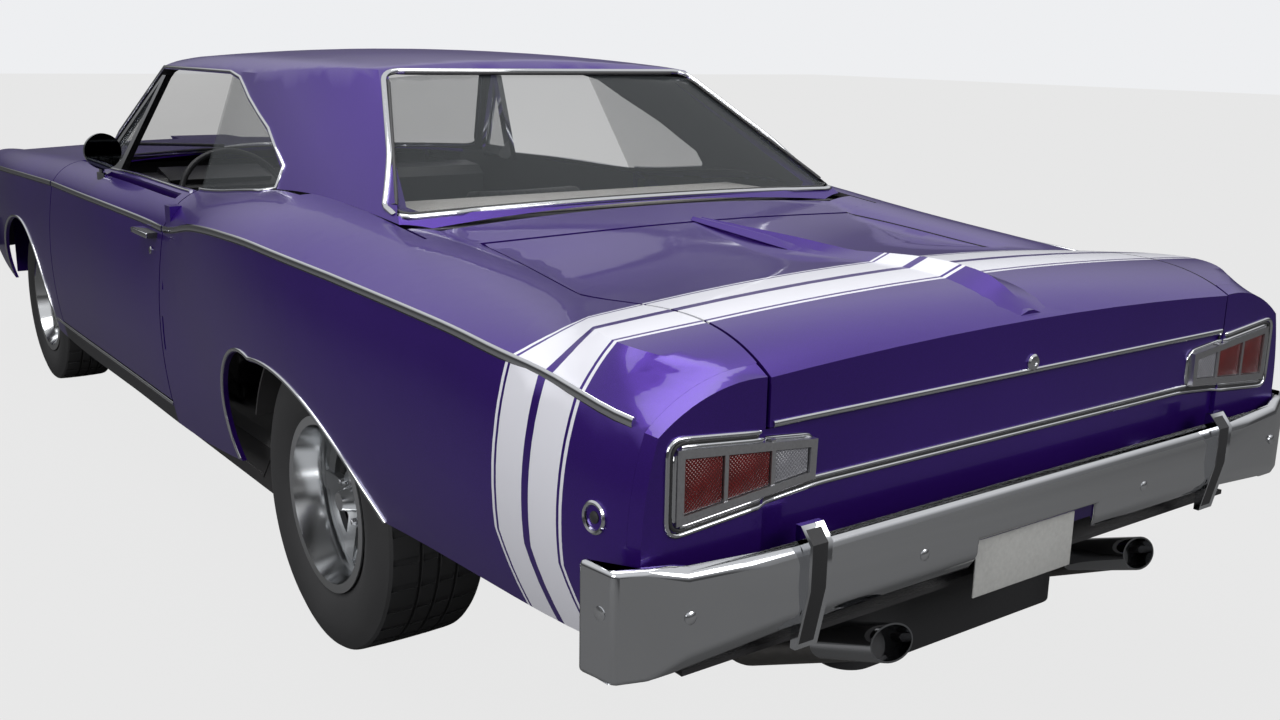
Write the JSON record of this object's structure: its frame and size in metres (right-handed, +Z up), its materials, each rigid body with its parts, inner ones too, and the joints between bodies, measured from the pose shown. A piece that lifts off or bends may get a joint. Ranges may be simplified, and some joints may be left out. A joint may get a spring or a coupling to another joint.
{
  "type": "muscle car",
  "caption": "Two-door hardtop muscle car with opening doors, hood and trunk lid, steered front wheels and turning wheels.",
  "frame": {"origin": "on the floor under the middle of the car", "axes": "+X forward, +Y to the left of the car, +Z up"},
  "size_m": [5.248, 1.948, 1.3858],
  "materials": {
    "paint": "gloss metallic",
    "glass": "clear",
    "chrome": "polished",
    "black_rubber": "matte",
    "black_metal": "satin",
    "black_trim": "grained",
    "vinyl": "grained vinyl",
    "engine_iron": "painted",
    "bare_steel": "weathered",
    "grille_metal": "satin",
    "tyre": "matte",
    "alloy": "polished"
  },
  "bodies": {
    "root": {"bumper_guards": "black_rubber", "cowl_top": "paint", "dashboard": "black_trim", "deck_filler": "paint", "driveline": "engine_iron", "engine": "engine_iron", "exhaust": "bare_steel", "fender_left": "paint", "fender_right": "paint", "firewall": "black_metal", "floor_pan": "black_metal", "front_bumper": "chrome", "front_frame": "black_metal", "front_seats": "vinyl", "front_suspension": "black_metal", "front_valance": "paint", "fuel_tank": "bare_steel", "grille": "grille_metal", "header_panel": "paint", "headlamps": "chrome", "inner_fenders": "black_metal", "package_shelf": "black_trim", "quarter_left": "paint", "quarter_right": "paint", "quarter_windows": "glass", "rear_axle": "black_metal", "rear_bumper": "chrome", "rear_seat": "vinyl", "rear_springs": "black_metal", "rear_window": "glass", "rocker_panels": "paint", "roof": "paint", "steering_column": "black_trim", "tail_lamps": "chrome", "tail_panel": "paint", "wheel_tubs": "black_metal", "windshield": "glass"},
    "door_left": {"door_left": "paint", "vent_window_left": "glass", "door_mirror": "chrome"},
    "door_right": {"door_right": "paint", "vent_window_right": "glass"},
    "hood": {"hood": "paint"},
    "trunk_lid": {"trunk_lid": "paint"},
    "knuckle_left": {"knuckle_left": "black_metal"},
    "knuckle_right": {"knuckle_right": "black_metal"},
    "wheel_front_left": {"tyre_front_left": "tyre", "rim_front_left": "alloy"},
    "wheel_front_right": {"tyre_front_right": "tyre", "rim_front_right": "alloy"},
    "wheel_rear_left": {"tyre_rear_left": "tyre", "rim_rear_left": "alloy"},
    "wheel_rear_right": {"tyre_rear_right": "tyre", "rim_rear_right": "alloy"},
    "steering_wheel": {"steering_wheel": "black_trim"}
  },
  "joints": [
    {"name": "door_left_hinge", "type": "hinge", "parent": "root", "child": "door_left", "pos_m": [1.218, 0.89, 0.6], "axis": [0, 0, -1], "range_deg": [0, 65]},
    {"name": "door_right_hinge", "type": "hinge", "parent": "root", "child": "door_right", "pos_m": [1.218, -0.89, 0.6], "axis": [0, 0, 1], "range_deg": [0, 65]},
    {"name": "hood_hinge", "type": "hinge", "parent": "root", "child": "hood", "pos_m": [1.03, 0, 0.885], "axis": [0, -1, 0], "range_deg": [0, 45]},
    {"name": "trunk_hinge", "type": "hinge", "parent": "root", "child": "trunk_lid", "pos_m": [-1.3, 0, 0.89], "axis": [0, 1, 0], "range_deg": [0, 60]},
    {"name": "steering", "type": "hinge", "parent": "root", "child": "knuckle_left", "pos_m": [1.704, 0.64, 0.335], "axis": [0, 0, 1], "range_deg": [-28, 28]},
    {"name": "steering_right", "type": "hinge", "parent": "root", "child": "knuckle_right", "pos_m": [1.704, -0.64, 0.335], "axis": [0, 0, 1], "range_deg": [-28, 28]},
    {"name": "steering_wheel_turn", "type": "hinge", "parent": "root", "child": "steering_wheel", "pos_m": [0.676, 0.375, 0.828], "axis": [0.9012, 0, -0.4335], "range_deg": [-450, 450]},
    {"name": "wheel_front_left_spin", "type": "hinge", "parent": "knuckle_left", "child": "wheel_front_left", "pos_m": [1.704, 0.745, 0.335], "axis": [0, 1, 0], "continuous": true},
    {"name": "wheel_front_right_spin", "type": "hinge", "parent": "knuckle_right", "child": "wheel_front_right", "pos_m": [1.704, -0.745, 0.335], "axis": [0, 1, 0], "continuous": true},
    {"name": "wheel_rear_left_spin", "type": "hinge", "parent": "root", "child": "wheel_rear_left", "pos_m": [-1.268, 0.76, 0.35], "axis": [0, 1, 0], "continuous": true},
    {"name": "wheel_rear_right_spin", "type": "hinge", "parent": "root", "child": "wheel_rear_right", "pos_m": [-1.268, -0.76, 0.35], "axis": [0, 1, 0], "continuous": true}
  ],
  "couplings": [
    {"joint": "steering_right", "follows": "steering", "ratio": 1},
    {"joint": "steering_wheel_turn", "follows": "steering", "ratio": -16}
  ]
}
